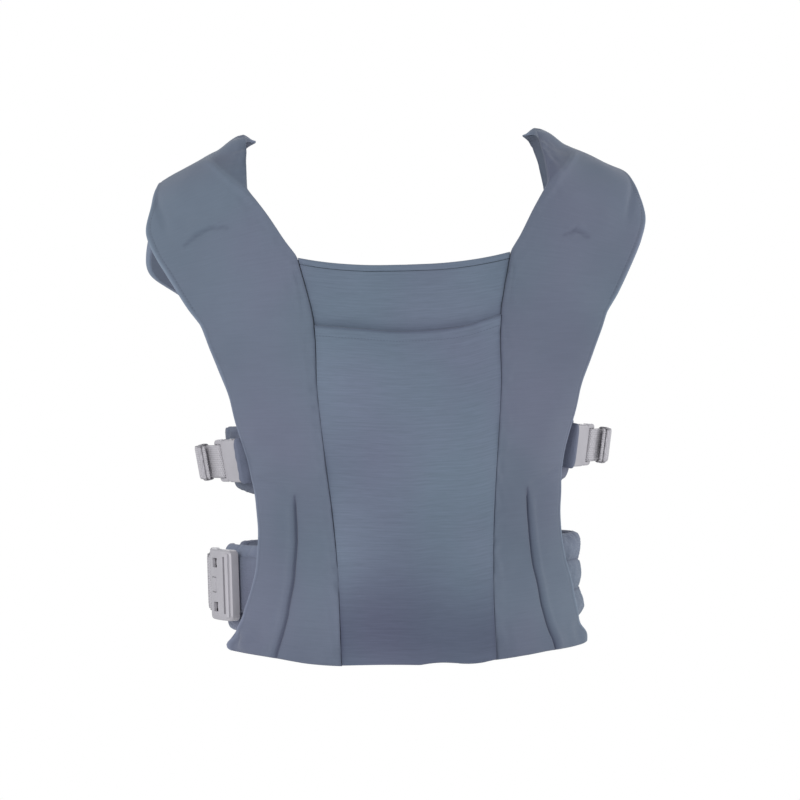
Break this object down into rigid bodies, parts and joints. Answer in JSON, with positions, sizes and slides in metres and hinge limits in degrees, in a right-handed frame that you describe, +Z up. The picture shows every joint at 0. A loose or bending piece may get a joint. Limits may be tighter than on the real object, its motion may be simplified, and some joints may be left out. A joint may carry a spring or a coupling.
{
  "type": "soft baby carrier",
  "caption": "Soft baby carrier in its worn shape: knit front panel, padded straps that cross the back, quilted waistband and side-release buckles.",
  "frame": {"origin": "the wearer's torso axis, at the height of the lowest point of the front hem", "axes": "+Z up the wearer's body; the front panel faces -Y; +X is the right-hand side seen from the front"},
  "size_m": [0.4636, 0.2633, 0.4751],
  "materials": {
    "knit": "matte slate-blue jersey knit",
    "heathered_knit": "matte slate-blue knit with fine horizontal slubs",
    "band_fabric": "matte quilted knit with fine ribs",
    "lining": "smooth matte lining",
    "foam": "soft padding",
    "buckle_plastic": "warm grey moulded acetal with a slight sheen",
    "webbing": "woven grey webbing",
    "elastic": "woven grey elastic"
  },
  "bodies": {
    "root": {"centre_lining": "lining", "inner_centre_panel": "knit", "outer_centre_panel": "heathered_knit", "neckline_binding": "knit", "left_side_lining": "lining", "left_side_panel": "knit", "left_shoulder_lining": "lining", "left_shoulder_foam": "foam", "left_shoulder_cover": "knit", "left_back_lining": "lining", "left_back_foam": "foam", "left_back_cover": "knit", "left_side_wing": "band_fabric", "left_female": "buckle_plastic", "left_strap_webbing": "webbing", "right_side_lining": "lining", "right_side_panel": "knit", "right_shoulder_lining": "lining", "right_shoulder_foam": "foam", "right_shoulder_cover": "knit", "right_back_lining": "lining", "right_back_foam": "foam", "right_back_cover": "knit", "right_side_wing": "band_fabric", "right_female": "buckle_plastic", "right_strap_webbing": "webbing", "waistband_front_lining": "lining", "waistband_front_foam": "foam", "waistband_front_cover": "band_fabric", "waistband_back_lining": "lining", "waistband_back_foam": "foam", "waistband_back_cover": "band_fabric", "care_label": "lining", "waist_female": "buckle_plastic", "waist_female_webbing": "webbing", "waist_belt": "webbing"},
    "left_slider": {"left_male": "buckle_plastic", "left_webbing_tail": "webbing"},
    "left_upper_arm": {"left_arm_upper": "buckle_plastic"},
    "left_lower_arm": {"left_arm_lower": "buckle_plastic"},
    "left_keeper_loop": {"left_keeper": "elastic"},
    "right_slider": {"right_male": "buckle_plastic", "right_webbing_tail": "webbing"},
    "right_upper_arm": {"right_arm_upper": "buckle_plastic"},
    "right_lower_arm": {"right_arm_lower": "buckle_plastic"},
    "right_keeper_loop": {"right_keeper": "elastic"},
    "waist_slider": {"waist_male": "buckle_plastic", "waist_tail": "webbing"},
    "waist_upper_arm": {"waist_arm_upper": "buckle_plastic"},
    "waist_lower_arm": {"waist_arm_lower": "buckle_plastic"},
    "waist_keeper_loop": {"waist_keeper": "elastic"},
    "waist_press": {"waist_button": "buckle_plastic"}
  },
  "joints": [
    {"name": "left_release", "type": "slide", "parent": "root", "child": "left_slider", "axis": [-0.5195, 0.8545, 0], "range_m": [0, 0.026], "deforming": ["left_arm_upper", "left_arm_lower"]},
    {"name": "left_pinch", "type": "hinge", "parent": "left_slider", "child": "left_upper_arm", "pos_m": [-0.16066, -0.05016, 0.1945], "axis": [0.8415, 0.5116, 0.1736], "range_deg": [0, 9], "stiffness_Nm_per_rad": 0.05},
    {"name": "left_pinch_lower", "type": "hinge", "parent": "left_slider", "child": "left_lower_arm", "pos_m": [-0.1568, -0.04782, 0.1689], "axis": [-0.8415, -0.5116, -0.1736], "range_deg": [0, 9], "stiffness_Nm_per_rad": 0.05},
    {"name": "left_keeper_slide", "type": "slide", "parent": "left_slider", "child": "left_keeper_loop", "axis": [-0.5195, 0.8545, 0], "range_m": [-0.003, 0.004]},
    {"name": "right_release", "type": "slide", "parent": "root", "child": "right_slider", "axis": [0.5736, 0.8192, 0], "range_m": [0, 0.026], "deforming": ["right_arm_upper", "right_arm_lower"]},
    {"name": "right_pinch", "type": "hinge", "parent": "right_slider", "child": "right_upper_arm", "pos_m": [0.1647, -0.04006, 0.1975], "axis": [0.8067, -0.5649, -0.1736], "range_deg": [0, 9], "stiffness_Nm_per_rad": 0.05},
    {"name": "right_pinch_lower", "type": "hinge", "parent": "right_slider", "child": "right_lower_arm", "pos_m": [0.161, -0.03747, 0.1719], "axis": [-0.8067, 0.5649, 0.1736], "range_deg": [0, 9], "stiffness_Nm_per_rad": 0.05},
    {"name": "right_keeper_slide", "type": "slide", "parent": "right_slider", "child": "right_keeper_loop", "axis": [0.5736, 0.8192, 0], "range_m": [-0.003, 0.004]},
    {"name": "waist_release", "type": "hinge", "parent": "root", "child": "waist_slider", "pos_m": [-0.069, 0.0013, 0.0705], "axis": [0, 0, -1], "range_deg": [0, 16], "deforming": ["waist_arm_upper", "waist_arm_lower"]},
    {"name": "waist_pinch", "type": "hinge", "parent": "waist_slider", "child": "waist_upper_arm", "pos_m": [-0.17176, -0.00577, 0.09], "axis": [0.9976, 0.0686, 0], "range_deg": [0, 12], "stiffness_Nm_per_rad": 0.1},
    {"name": "waist_pinch_lower", "type": "hinge", "parent": "waist_slider", "child": "waist_lower_arm", "pos_m": [-0.17176, -0.00577, 0.051], "axis": [-0.9976, -0.0686, 0], "range_deg": [0, 12], "stiffness_Nm_per_rad": 0.1},
    {"name": "waist_keeper_slide", "type": "hinge", "parent": "waist_slider", "child": "waist_keeper_loop", "pos_m": [-0.069, 0.0013, 0.0705], "axis": [0, 0, -1], "range_deg": [-2.5, 2.5]},
    {"name": "waist_button_press", "type": "slide", "parent": "root", "child": "waist_press", "axis": [0.9703, 0.2418, 0], "range_m": [0, 0.0012], "stiffness_N_per_m": 200}
  ],
  "couplings": [
    {"joint": "left_pinch_lower", "follows": "left_pinch", "ratio": 1},
    {"joint": "right_pinch_lower", "follows": "right_pinch", "ratio": 1},
    {"joint": "waist_pinch_lower", "follows": "waist_pinch", "ratio": 1}
  ]
}
